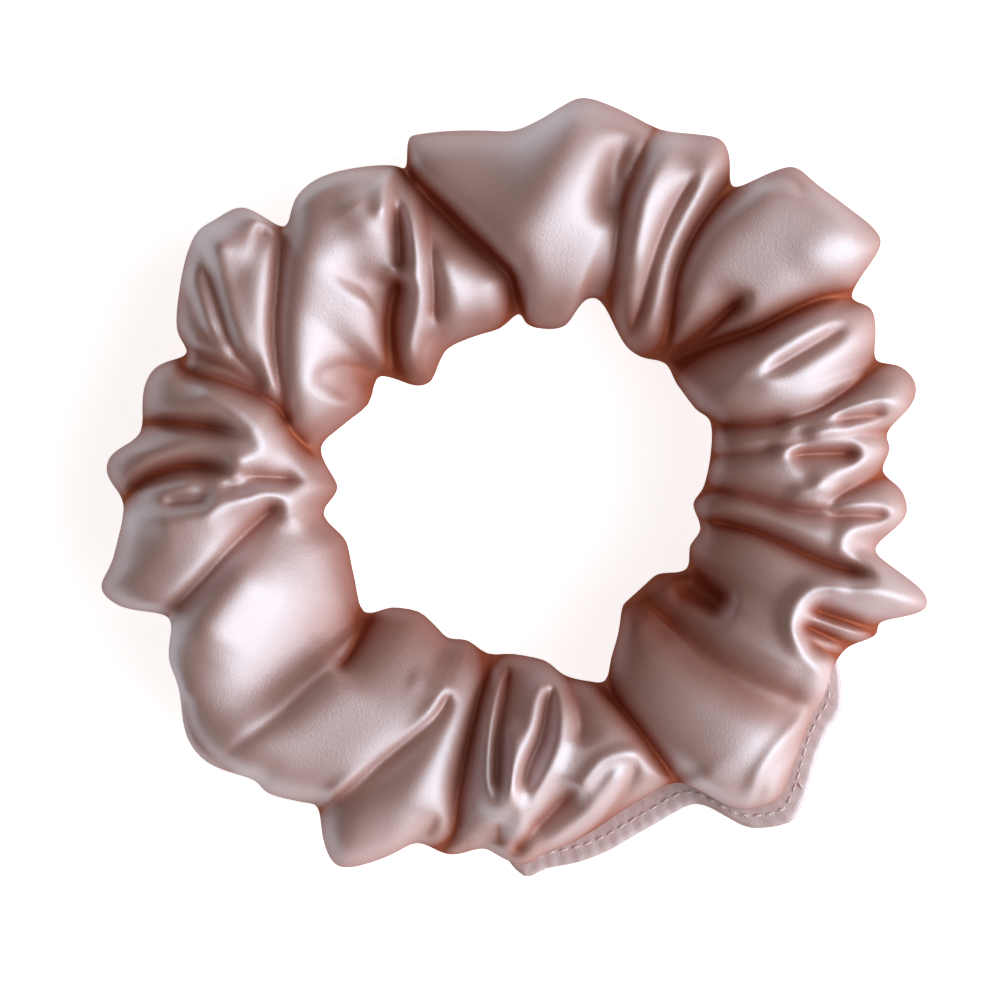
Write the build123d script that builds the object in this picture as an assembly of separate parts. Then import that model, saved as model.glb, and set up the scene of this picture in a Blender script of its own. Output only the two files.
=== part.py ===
from build123d import *
from collections import namedtuple
from math import ceil, cos, degrees, radians, sin
import os

# Satin hair scrunchie, relaxed and lying flat: one strip of satin sewn into a tube, gathered
# round a loose flat elastic. The long seam runs round the outside of the tube. Its last stretch,
# left open for the elastic, is pressed into a lip and closed with a row of topstitching.
#
# Frame: the origin is on the table under the middle of the ring, and +Z is up.
# Sizes are in millimetres and degrees. Angles run anticlockwise from +X, seen from above.

# ---------------------------------------------------------------- driving dimensions

# Elastic: a flat braid standing on edge, its ends lapped and stitched together.
ELASTIC_RADIUS = 30.5  # of the face towards the middle
ELASTIC_WIDTH = 6.0
ELASTIC_THICKNESS = 0.9
ELASTIC_LAP = 13.0  # how far one end lies over the other
ELASTIC_STEP = 7.0  # length in which the upper end climbs onto the lower
ELASTIC_LAP_GAP = 0.1  # between the lapped ends
ELASTIC_JOIN_ANGLE = 100.0  # where the lap begins

# Satin tube, drawn as flat facets between closed sections.
SATIN_WALL = 0.8  # one gathered wall of the tube
TUBE_MIDDLE = 12.5  # height of the elastic and of the long seam above the table
CREASE_NOTCH = 1.5  # depth of a crease below the lower of its two gathers, seen from above
LEAST_INSIDE = 3.9  # reach of a crease inside the elastic, at least: room for the end seam
CREASE_HALF_HEIGHT = 8.0  # of the tube, pinched in at a crease
SHOULDER = 0.25  # share of a gather between its crease and the edge of its crest
FULLNESS = 0.7  # 1 gives a section the shape of an ellipse, and less makes it squarer
UNDERSIDE_FULLNESS = 0.8
UNDERSIDE_TWIST = 5.0  # how far the folds underneath lie round from those on top, at most
TWIST_WAVES = 3  # how often that goes to and fro, once round the ring
SIDES = 14  # corners of a section, an even number

# Seams.
ALLOWANCE_WIDTH = 5.0  # cloth past the long seam, inside the tube
END_ALLOWANCE_WIDTH = 1.4  # cloth past the end seam, kept clear of the elastic
ALLOWANCE_THICKNESS = 0.8  # the two layers of an allowance
END_SEAM_ANGLE = 299.0  # the end seam lies in the crease nearest to it
LIP_WIDTH = 3.6  # how far the topstitched lip stands out of the tube
LIP_THICKNESS = 1.0
LIP_START = 272.0
LIP_END = 328.0
TOPSTITCH_SETBACK = 2.0  # from the lip's edge

# Thread.
THREAD = 0.3
STITCH_LENGTH = 4.0
SEAM_SETBACK = 0.9  # of a hidden row of stitches from the tube's wall
ZIGZAG_WIDTH = 3.6
ZIGZAG_LENGTH = 2.0

# Gathers, anticlockwise. inner and outer are the angles at which the crease before the gather
# meets the inner and the outer edge of the ring. inside is how far its crest reaches past the
# elastic towards the middle. start and end are how far it reaches outwards at its two ends, and
# half_height is half its height. lean is how far outwards of the cloth's middle its highest line
# lies, as a share of half the width.
Gather = namedtuple("Gather", "inner outer inside start end half_height lean")
GATHERS = [
    Gather(0, 3, 4.4, 20.6, 20.5, 13.2, -0.1),
    Gather(9, 9.5, 3.8, 24.5, 25.0, 13.6, -0.1),
    Gather(19.5, 19.5, 4.0, 23.1, 23.3, 14.4, -0.1),
    Gather(38, 30, 4.2, 29.3, 27.3, 14.2, 0.4),
    Gather(43, 54, 5.8, 24.0, 22.9, 12.8, 0.1),
    Gather(67, 68, 8.2, 23.1, 18.5, 14.8, 0.0),
    Gather(88.5, 108.5, 10.2, 16.0, 16.0, 13.2, 0.1),
    Gather(138, 112, 7.2, 18.0, 18.5, 14.4, 0.4),
    Gather(167, 132.5, 4.2, 23.8, 21.0, 13.4, 0.35),
    Gather(171, 158, 4.2, 20.7, 21.1, 12.8, 0.1),
    Gather(175, 170.5, 5.0, 23.7, 24.1, 12.6, 0.1),
    Gather(179.5, 182, 5.6, 23.7, 26.5, 13.8, 0.25),
    Gather(187.5, 200.5, 6.4, 21.3, 24.3, 14.0, 0.45),
    Gather(220, 224, 9.2, 22.3, 21.1, 14.2, 0.35),
    Gather(253, 238.5, 8.6, 25.0, 22.5, 13.8, 0.2),
    Gather(262.5, 255.5, 8.2, 19.5, 19.1, 13.4, 0.15),
    Gather(270.5, 266, 7.4, 21.1, 17.5, 13.6, 0.1),
    Gather(283, 275, 4.6, 16.9, 15.3, 13.2, 0.0),
    Gather(296, 299, 8.4, 24.3, 20.8, 13.6, 0.42),
    Gather(319, 327, 7.6, 20.4, 20.6, 13.8, 0.25),
    Gather(331, 338, 5.2, 23.4, 27.0, 13.8, 0.1),
    Gather(350, 350, 5.6, 21.7, 22.5, 12.8, -0.1),
]

UP = Vector(0, 0, 1)


def polar(radius, angle, height=TUBE_MIDDLE):
    return Vector(radius * cos(radians(angle)), radius * sin(radians(angle)), height)


def angle_of(point):
    return Vector(1, 0, 0).get_signed_angle(Vector(point.X, point.Y), UP) % 360


# ---------------------------------------------------------------- sections of the tube

# A section runs straight from inner to outer, both at the middle height of the tube.
Section = namedtuple("Section", "inner outer half_height lean")


def crease_before(index):
    gather, last = GATHERS[index], GATHERS[index - 1]
    inside = max(min(gather.inside, last.inside) - CREASE_NOTCH, LEAST_INSIDE)
    outside = min(gather.start, last.end) - CREASE_NOTCH
    return Section(
        polar(ELASTIC_RADIUS - inside, gather.inner),
        polar(ELASTIC_RADIUS + outside, gather.outer),
        CREASE_HALF_HEIGHT,
        (gather.lean + last.lean) / 2,
    )


def crest(index, share, outside):
    """The gather's full section, the given share of the way to the crease after it."""
    gather, following = GATHERS[index], GATHERS[(index + 1) % len(GATHERS)]
    inner_angle = gather.inner + (following.inner - gather.inner) % 360 * share
    outer_angle = gather.outer + (following.outer - gather.outer) % 360 * share
    return Section(
        polar(ELASTIC_RADIUS - gather.inside, inner_angle),
        polar(ELASTIC_RADIUS + outside, outer_angle),
        gather.half_height,
        gather.lean,
    )


def all_sections():
    for index, gather in enumerate(GATHERS):
        yield crease_before(index)
        yield crest(index, SHOULDER, gather.start)
        yield crest(index, 1 - SHOULDER, gather.end)


SECTIONS = list(all_sections())
CREASES = SECTIONS[::3]
END_SECTION = min(CREASES, key=lambda crease: abs(angle_of(crease.outer) - END_SEAM_ANGLE))


def middle(section):
    return (section.inner + section.outer) / 2


def outward(section):
    return (section.outer - section.inner).normalized()


def twist(section):
    """How far the lowest point of the section is turned round the ring; none at the end seam."""
    turn = radians(angle_of(middle(section)) - angle_of(middle(END_SECTION)))
    return UNDERSIDE_TWIST * sin(TWIST_WAVES * turn)


def corner(section, number, inset, floor=0):
    """A corner of the section drawn in by inset. Corner 0 is the outer tip; none is below floor."""
    turn = radians(360 * number / SIDES)
    half_width = (section.outer - section.inner).length / 2 - inset
    along = cos(turn) + section.lean * sin(turn) ** 2
    point = middle(section) + outward(section) * half_width * along
    if sin(turn) < 0:
        rise = -(abs(sin(turn)) ** UNDERSIDE_FULLNESS)
        point = point.rotate(Axis.Z, twist(section) * rise)
    else:
        rise = sin(turn) ** FULLNESS
    height = point.Z + (section.half_height - inset) * rise
    return Vector(point.X, point.Y, max(height, floor))


def corners(section, inset, floor=0):
    return [corner(section, number, inset, floor) for number in range(SIDES)]


def triangle(*points):
    return Face(Wire.make_polygon(points))


def tube(inset):
    """A closed ring of flat facets through all the sections, drawn in by inset."""
    rings = [corners(section, inset, inset) for section in SECTIONS]
    facets = []
    for near, far in zip(rings, rings[1:] + rings[:1]):
        for side in range(SIDES):
            following = (side + 1) % SIDES
            facets.append(triangle(near[side], near[following], far[side]))
            facets.append(triangle(near[following], far[following], far[side]))
    return Solid(Shell(facets))


# ---------------------------------------------------------------- thread

def bar(start, end, side_direction):
    """A square length of thread from start to end."""
    plane = Plane(start, x_dir=side_direction, z_dir=end - start)
    return extrude(plane * Rectangle(THREAD, THREAD), (end - start).length)


def evenly_along(path):
    """Points about a stitch apart along a wire, the ends of an open one left out."""
    count = ceil(path.length / STITCH_LENGTH)
    first = 0 if path.is_closed else 1
    return [path @ (number / count) for number in range(first, count)]


def lockstitch(run, path, through, depth):
    """A run of thread on each face of cloth of the given depth, joined through it stitch by stitch."""
    to_face = through * depth / 2
    upper = extrude(run.moved(Location(to_face)), THREAD, dir=through)
    lower = extrude(run.moved(Location(-to_face)), THREAD, dir=-through)
    legs = [bar(point - to_face, point + to_face, path % 0) for point in evenly_along(path)]
    return upper.fuse(lower, *legs)


# ---------------------------------------------------------------- satin cover

def seam_points(setback, sections):
    """Points the given distance inside the outer edge of the tube, one for each section."""
    return [section.outer - outward(section) * setback for section in sections]


def flat_band(outer, inner, thickness):
    """Flat cloth between two closed rows of points at the height of the seam."""
    face = Face(Wire.make_polygon(outer), [Wire.make_polygon(inner)])
    return extrude(face, thickness / 2, dir=UP, both=True)


def long_allowance():
    wall = seam_points(SATIN_WALL / 2, SECTIONS)
    edge = seam_points(SATIN_WALL + ALLOWANCE_WIDTH, SECTIONS)
    return flat_band(wall, edge, ALLOWANCE_THICKNESS)


END_DIRECTION = UP.cross(outward(END_SECTION))  # along the tube at the end seam


def end_ring(outer_inset, inner_inset):
    """The flat ring between two outlines of the end seam's section."""
    outer = Wire.make_polygon(corners(END_SECTION, outer_inset))
    inner = Wire.make_polygon(corners(END_SECTION, inner_inset))
    return Face(outer, [inner])


def end_allowance():
    ring = end_ring(SATIN_WALL / 2, SATIN_WALL + END_ALLOWANCE_WIDTH)
    return extrude(ring, ALLOWANCE_THICKNESS / 2, dir=END_DIRECTION, both=True)


def in_lip(section):
    return LIP_START <= angle_of(section.outer) <= LIP_END


LIP_ROOT = [section for section in SECTIONS if in_lip(section)]
LIP_EDGE = [section for section in LIP_ROOT if section.half_height > CREASE_HALF_HEIGHT]


def lip():
    edge = seam_points(-LIP_WIDTH, LIP_EDGE)
    root = seam_points(SATIN_WALL / 2, LIP_ROOT)
    face = Face(Wire.make_polygon(edge + root[::-1]))
    return extrude(face, LIP_THICKNESS / 2, dir=UP, both=True)


def tube_cloth():
    """The walls of the tube, its lip, and the allowances of both seams folded inside it."""
    room = tube(SATIN_WALL) - long_allowance() - end_allowance()
    return tube(0) + lip() - room


# ---------------------------------------------------------------- stitching of the cover

def stitch_row(setback, sections, depth):
    """Stitches the given distance inside the outer edge of the tube, past all the sections."""
    edge = seam_points(setback - THREAD / 2, sections)
    other_edge = seam_points(setback + THREAD / 2, sections)
    run = Face(Wire.make_polygon(edge + other_edge[::-1]))
    path = Wire.make_polygon(seam_points(setback, sections), close=False)
    return lockstitch(run, path, UP, depth)


def closing_topstitch():
    return stitch_row(TOPSTITCH_SETBACK - LIP_WIDTH, LIP_EDGE, LIP_THICKNESS)


def long_seam_stitch():
    """From the end of the lip round the rest of the tube to its start."""
    start, end = SECTIONS.index(LIP_ROOT[-1]), SECTIONS.index(LIP_ROOT[0])
    sewn = SECTIONS[start:] + SECTIONS[: end + 1]
    return stitch_row(SATIN_WALL + SEAM_SETBACK, sewn, ALLOWANCE_THICKNESS)


def end_seam_stitch():
    setback = SATIN_WALL + SEAM_SETBACK
    run = end_ring(setback - THREAD / 2, setback + THREAD / 2)
    path = Wire.make_polygon(corners(END_SECTION, setback))
    return lockstitch(run, path, END_DIRECTION, ALLOWANCE_THICKNESS)


# ---------------------------------------------------------------- elastic

LAP_ANGLE = degrees(ELASTIC_LAP / ELASTIC_RADIUS)
STEP_ANGLE = degrees(ELASTIC_STEP / ELASTIC_RADIUS)
LAPPED_RADIUS = ELASTIC_RADIUS + ELASTIC_THICKNESS + ELASTIC_LAP_GAP  # inner face of the lap


def elastic_braid():
    """Once round from the lower end, then a step outwards and the lap over the lower end."""
    half = ELASTIC_THICKNESS / 2
    with BuildSketch(Plane.XY.offset(TUBE_MIDDLE)) as edge_on:
        with BuildLine():
            once_round = CenterArc(
                (0, 0), ELASTIC_RADIUS + half, ELASTIC_JOIN_ANGLE, 360 - STEP_ANGLE
            )
            lap = CenterArc((0, 0), LAPPED_RADIUS + half, ELASTIC_JOIN_ANGLE, LAP_ANGLE)
            Spline(once_round @ 1, lap @ 0, tangents=[once_round % 1, lap % 0])
        trace(line_width=ELASTIC_THICKNESS)
    return extrude(edge_on.sketch, ELASTIC_WIDTH / 2, dir=UP, both=True).solid()


def elastic_join_stitch():
    """A zigzag of thread, over and under the two lapped ends."""
    to_face = (LAPPED_RADIUS + ELASTIC_THICKNESS - ELASTIC_RADIUS) / 2
    middle = ELASTIC_RADIUS + to_face
    count = int(ELASTIC_LAP / ZIGZAG_LENGTH) - 1
    margin = (ELASTIC_LAP - count * ZIGZAG_LENGTH) / 2
    axis = Vector(0, 0, TUBE_MIDDLE)
    outsides, insides = [], []
    for number in range(count + 1):
        angle = ELASTIC_JOIN_ANGLE + degrees((margin + number * ZIGZAG_LENGTH) / ELASTIC_RADIUS)
        height = TUBE_MIDDLE + (ZIGZAG_WIDTH / 2 if number % 2 else -ZIGZAG_WIDTH / 2)
        outsides.append(polar(middle + to_face + THREAD / 2, angle, height))
        insides.append(polar(middle - to_face - THREAD / 2, angle, height))
    threads = [bar(a, b, UP) for a, b in zip(insides, outsides)]
    for row in (insides, outsides):
        threads += [bar(a, b, a - axis) for a, b in zip(row, row[1:])]
    return threads[0].fuse(*threads[1:])


# ---------------------------------------------------------------- parts

def main():
    thread = {
        "closing_topstitch": closing_topstitch(),
        "long_seam_stitch": long_seam_stitch(),
        "end_seam_stitch": end_seam_stitch(),
    }
    join_stitch = elastic_join_stitch()
    parts = {
        "satin_cover": tube_cloth() - list(thread.values()),
        "elastic_band": elastic_braid() - join_stitch,
        "elastic_join_stitch": join_stitch,
        **thread,
    }
    os.makedirs("parts", exist_ok=True)
    for name, solid in parts.items():
        solid.label = name
        export_step(solid, f"parts/{name}.step")


main()
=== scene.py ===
import math
from collections import namedtuple

import bpy
import numpy as np
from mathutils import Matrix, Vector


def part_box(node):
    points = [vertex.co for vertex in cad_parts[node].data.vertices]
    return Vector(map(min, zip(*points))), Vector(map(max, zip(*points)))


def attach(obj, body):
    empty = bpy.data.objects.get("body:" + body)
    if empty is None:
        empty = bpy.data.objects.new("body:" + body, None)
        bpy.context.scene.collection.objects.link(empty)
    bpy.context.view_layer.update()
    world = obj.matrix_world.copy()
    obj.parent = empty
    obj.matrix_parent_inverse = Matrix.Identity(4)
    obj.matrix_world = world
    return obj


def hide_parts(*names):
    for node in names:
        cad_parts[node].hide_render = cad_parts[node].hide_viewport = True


# The looks of a gathered satin scrunchie that lies flat, seen from straight above.
# Places on the ring are given as (angle, radius): degrees anticlockwise from +X and millimetres
# from the middle. Lengths here are in millimetres, and meshes are built in metres.

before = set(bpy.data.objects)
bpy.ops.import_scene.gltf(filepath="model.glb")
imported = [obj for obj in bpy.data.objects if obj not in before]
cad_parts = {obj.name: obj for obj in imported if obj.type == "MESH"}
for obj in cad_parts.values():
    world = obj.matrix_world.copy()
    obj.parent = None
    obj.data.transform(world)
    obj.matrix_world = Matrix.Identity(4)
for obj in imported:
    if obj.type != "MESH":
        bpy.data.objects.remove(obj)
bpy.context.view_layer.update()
MM = 0.001


elastic_low, elastic_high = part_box("elastic_band")
MIDDLE = (elastic_low.z + elastic_high.z) / 2 / MM  # height of the tube's middle

# ---------------------------------------------------------------- outline of the ring

OUTER_EDGE = [
    (0, 52.3), (2.7, 49.8), (6, 51.1), (8.8, 51.0), (12, 55), (15, 56.1), (18, 54.5),
    (19.5, 51.8), (24, 53.5), (27, 54.1), (29.5, 52.3), (31.5, 55), (33.5, 59.5), (36, 60),
    (40, 59), (45, 58), (49, 57.7), (51, 55), (54, 50.2), (57, 53.5), (59.5, 54.9),
    (63, 53.8), (68, 52.4), (75, 53.3), (80, 53.7), (83, 52), (86, 50), (90, 48.4),
    (95, 48.6), (105, 49.6), (107, 49.3), (108.5, 45.5), (110, 46.5), (115, 48),
    (122, 49.5), (127, 49), (131.5, 46.7), (133.5, 52.5), (138, 54.3), (142, 55),
    (150, 52.3), (155, 50.2), (157.5, 47.7), (161, 51), (165, 51.8), (171.5, 51),
    (175, 54.5), (178, 55), (182.5, 52.7), (190, 55), (193.5, 57.4), (197, 55),
    (200.5, 49.2), (206, 51.5), (211, 52), (217, 55), (222, 55.2), (228, 52.6),
    (231, 52.8), (236, 51), (238.5, 50.5), (242, 54.5), (245.5, 56.2), (251, 52.5),
    (254.7, 49.5), (260, 50.2), (265, 48.7), (268, 49.8), (271.5, 50.8), (275, 49.4),
    (280, 48.2), (285, 46.8), (290, 45.6), (298, 45), (301, 47), (303, 50), (305, 52.8),
    (309.5, 55), (312, 54.6), (315, 53.2), (319, 51.6), (323, 50.6), (326, 50.4),
    (330, 49.4), (334.5, 49.8), (338, 52.8), (340, 52.5), (342.5, 56.5), (344, 58),
    (346, 57), (348, 53), (350.5, 49.3), (355, 52.5), (357, 53.2),
]
# The thin lip that stands out of the tube at the closed opening, its edge from end to end.
LIP_EDGE = [
    (268, 49), (271.5, 52.4), (275, 51.5), (280, 51.2), (285, 50.5), (290, 49.5), (298, 48.8),
    (301, 50), (303, 53), (305, 56), (309.5, 58.5), (312, 58), (315, 56.5), (319, 54.5),
    (323, 53.5), (326, 53.3), (330, 51), (333, 48.5),
]
INNER_EDGE = [
    (0, 25.5), (5, 26.3), (10, 27), (19, 28.1), (24, 26.8), (33, 26.2), (39.5, 26.6),
    (45, 25), (49, 24.5), (53, 24.7), (58, 25.8), (65.5, 28), (69, 27.5), (70.5, 26),
    (72, 23.5), (76, 22.3), (82, 22), (86, 22.5), (88.5, 23.7), (95, 21.8), (105, 21.3),
    (115, 21), (120, 20), (124, 19), (128, 18.4), (132, 18.8), (135, 20), (138, 22.5),
    (141, 23.8), (150, 22.8), (160, 24.8), (166, 26.5), (170, 26.4), (178, 24),
    (182, 24.3), (187.5, 26), (195, 24.1), (200, 23.8), (210, 24.8), (219.5, 26.2),
    (224, 23), (232, 21), (240, 21.3), (246, 22), (253, 21.4), (261, 22.5), (270, 22.3),
    (280, 23.5), (285, 26), (291, 27.8), (295.5, 28.7), (300, 26.3), (306, 24),
    (312, 21.8), (316, 21.5), (325, 22), (330, 22.8), (335, 25.7), (342, 25), (348, 25.8),
    (355, 24.3),
]

# ---------------------------------------------------------------- folds

FADE = 2.5  # length over which a fold rises from its ends, where it doesn't say otherwise

# A crease runs through its points. It is depth deep, and the cloth rises from it over the
# distances clockwise and anticlockwise of it. raised lifts the anticlockwise side, or the
# clockwise side where it is negative, so that it lies over the other. Over the length fade it
# comes to nothing at each end.
# A crease's depth also sets the painted shade along it.
Crease = namedtuple(
    "Crease", "points depth clockwise anticlockwise raised fade", defaults=(0, FADE)
)

# A roll of cloth along its points: height high and width wide on each side. A slot between two
# rolls has a height below zero.
# A roll below zero also gets painted shade along it, and one above zero takes painted shade away.
Roll = namedtuple("Roll", "points height width")

CREASES = [
    # The right side, anticlockwise from +X.
    Crease(
        [(1, 21), (0, 26), (-1.5, 31), (-3.5, 36), (-4, 41), (-0.5, 44.5), (2.5, 50.5), (4, 54)],
        4.5, 1.5, 1.6,
    ),
    Crease([(10.5, 22), (8.8, 31), (9.3, 38), (9.3, 45), (8.8, 56)], 3, 1.2, 1.2),
    Crease(
        [(22, 23), (19, 27.5), (16.5, 30), (14.6, 35), (14.2, 41), (16.2, 46), (19.2, 52.5),
         (20, 56)],
        5, 1.5, 1.6,
    ),
    Crease(
        [(42, 22), (39.5, 26), (37, 32), (33.8, 38.3), (33, 43.3), (32, 48.5), (29.8, 53),
         (28.5, 57)],
        7.5, 1.6, 2, 1,
    ),
    Crease(
        [(37, 21), (41, 25), (43, 28), (49, 32.6), (53, 37), (54.6, 43.3), (54.2, 55)],
        6, 1.2, 1.5, -0.7,
    ),
    # The top.
    Crease([(60, 23), (64, 29), (66.5, 34.5), (69, 40), (69.3, 46), (68, 57)], 4, 0.7, 1.6, 0.4),
    Crease(
        [(88, 19), (88.5, 23), (90, 28.3), (94.6, 31.4), (100, 35.1), (103.8, 38.9), (106.5, 42),
         (108.6, 45.5), (108.8, 50)],
        8, 1.4, 2.7, -2.2,
    ),
    Crease(
        [(146, 18), (138, 21.5), (132.3, 24.5), (126.2, 28.3), (120.5, 31.2), (117.5, 33)],
        7, 1.7, 1.7,
    ),
    Crease([(119, 32), (116, 34.5), (113.8, 38), (112.6, 42.5)], 4.5, 1.1, 1.1),
    Crease([(107.4, 42), (108.2, 37), (109.6, 32.5), (112.6, 27.6), (117, 24)], 3, 0.9, 0.8),
    # The left side.
    Crease(
        [(174, 25.5), (168, 29), (164, 31.6), (155.4, 34.5), (145.4, 38.9), (137.7, 42.6),
         (131, 47.5), (129.5, 52)],
        5, 1.4, 0.7, -0.3, 5,
    ),
    Crease(
        [(165.5, 30.5), (163, 32), (160, 35), (159.6, 41.4), (160.4, 46.4), (157.5, 49),
         (156.5, 53)],
        5.5, 1.3, 1.3,
    ),
    Crease([(169, 35.5), (168.4, 41), (168.8, 45), (169.6, 49.5), (171, 55)], 5.5, 0.8, 0.9, 0, 9),
    Crease([(177.6, 27.5), (177.4, 33), (176.8, 38)], 3.6, 0.9, 0.9, 0, 4),
    Crease(
        [(176.6, 35), (175.8, 41.4), (176.2, 45), (178.5, 49.5), (182, 53), (183.5, 57)],
        6, 0.8, 1, 0, 9,
    ),
    Crease(
        [(182.3, 30.8), (185.4, 33.3), (190, 37), (194.6, 41.4), (198, 45.8), (200.5, 50.5),
         (202, 55)],
        4.2, 0.9, 1.7,
    ),
    Crease([(219, 24.5), (222.5, 27.5), (225.4, 31.5), (225.6, 35)], 5, 1.3, 1.6),
    Crease(
        [(225, 31), (224, 38), (223.9, 43), (223.2, 47), (222.7, 51), (224, 58)],
        0.9, 0.5, 0.8,
    ),
    # The bottom.
    Crease(
        [(252.3, 27.5), (251.5, 31), (247, 36.5), (243, 42), (238.5, 51), (237, 55)],
        3.8, 1, 1.4, -0.8,
    ),
    Crease(
        [(264, 18), (262, 23), (260.5, 30), (259.8, 36), (259.6, 41), (260, 47), (257, 51),
         (255, 54)],
        5.5, 1.4, 1.4,
    ),
    Crease([(283, 26.4), (279.2, 28.5), (276.5, 33), (273, 37), (271.3, 41)], 3.4, 0.7, 0.8),
    Crease([(283, 40.4), (277, 43.3), (273, 45.8), (269, 50)], 4.5, 1.3, 1.6),
    Crease([(285.5, 24), (286, 31), (284.5, 36)], 2.4, 1.3, 1.6),
    # The edge of the flap.
    Crease([(295.4, 39), (289.4, 43.2), (283, 47), (277, 49.6), (270, 52.5)], 1.6, 0.9, 1, -1.2),
    # The lower right.
    Crease(
        [(294, 24), (295, 28), (295.4, 30.8), (297.3, 35.8), (298.5, 41.4), (299.3, 47)],
        6.5, 0.7, 2, 1,
    ),
    Crease(
        [(351, 24), (350.4, 30.8), (349.2, 35.1), (347.3, 40), (346.4, 44.5), (346, 51)],
        6, 1, 1.2, 0, 5,
    ),
]
PLEATS = [
    # Beside the hairpin fold, and on the top puff.
    Crease([(130, 18.5), (124.6, 22.3), (120, 23.2), (116, 25)], 1.6, 1.2, 1.2),
    # Between the top puff and the pocket.
    Crease([(67.4, 42), (65.2, 36), (61.5, 29.5)], 1.2, 1.1, 1.1),
    Crease(
        [(59.2, 50.5), (60.3, 46), (60.2, 41), (58.5, 35), (54, 28), (52, 24)],
        3, 1.1, 1.1, 0, 5,
    ),
    # The puff with the pocket, at the upper right.
    Crease([(40, 42), (39.8, 38), (39.3, 32), (39.5, 25)], 7.5, 1.4, 1.8, 0, 4),
    Crease([(51, 51.5), (50, 55), (47, 56), (45, 54)], 1.6, 1.1, 1.1),
    # The fine folds on the right.
    Crease([(26.6, 52), (25.8, 45), (25, 39), (24.4, 34.5)], 3.2, 1.1, 1.3, 0, 5),
    Crease([(11.2, 52), (11.8, 48), (12, 42.5)], 4, 1.2, 1.2),
    Crease([(5.6, 47.4), (6.4, 43.5), (7, 39.5), (6.8, 36)], 5, 1.2, 1.2),
    Crease([(356, 51.4), (355.6, 46), (355, 40.5)], 4, 1.2, 1.2),
    Crease([(355, 38), (357.5, 33), (360, 29.5)], 2.6, 1.3, 1.3),
    # The pleats inside the hooked fold.
    Crease([(338.8, 57), (338.4, 48), (337.8, 41.6)], 6.5, 1, 1),
    Crease([(335, 56), (335, 47), (334.6, 41.4)], 6.5, 1, 1),
    Crease([(332.6, 54), (332.6, 46.5), (332.8, 43)], 5, 0.9, 0.9),
    # The hairpin folds at the bottom.
    Crease([(267, 41.2), (266.4, 34), (267.2, 28), (269, 23)], 4, 0.7, 0.7),
    Crease([(267.8, 48.5), (267.3, 44)], 3, 1.2, 1.2),
    Crease([(262.5, 51), (262.6, 46)], 1.4, 1.1, 1.1),
    Crease([(256, 49), (256.8, 44)], 2.6, 1.2, 1.2),
    # The left side.
    Crease([(227, 53.5), (220, 54), (215, 53.4), (211.5, 51.4)], 1.8, 1.1, 1.1),
    Crease([(182.8, 48), (182.2, 43.5), (182.4, 39.5)], 2.4, 0.9, 0.9),
    Crease([(157.7, 48), (157.2, 41.5), (158.6, 35)], 3.6, 1.3, 1.3),
    Crease([(153, 43.6), (155.5, 39), (159.4, 34.6)], 3.2, 1.7, 1.7),
    Crease([(141.5, 54), (147, 48), (152, 43.6), (157, 38)], 3, 1, 1.6, 0, 6),
    Crease([(148, 53), (152.5, 47.5), (156, 43)], 2.6, 1, 1.4, 0, 5),
    Crease([(135, 49.6), (133, 45)], 2.6, 1.4, 1.4),
    Crease([(157, 30.2), (149, 30), (143, 27.8), (138.6, 23.6)], 1.8, 1.4, 0.9, 0, 8),
]
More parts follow.
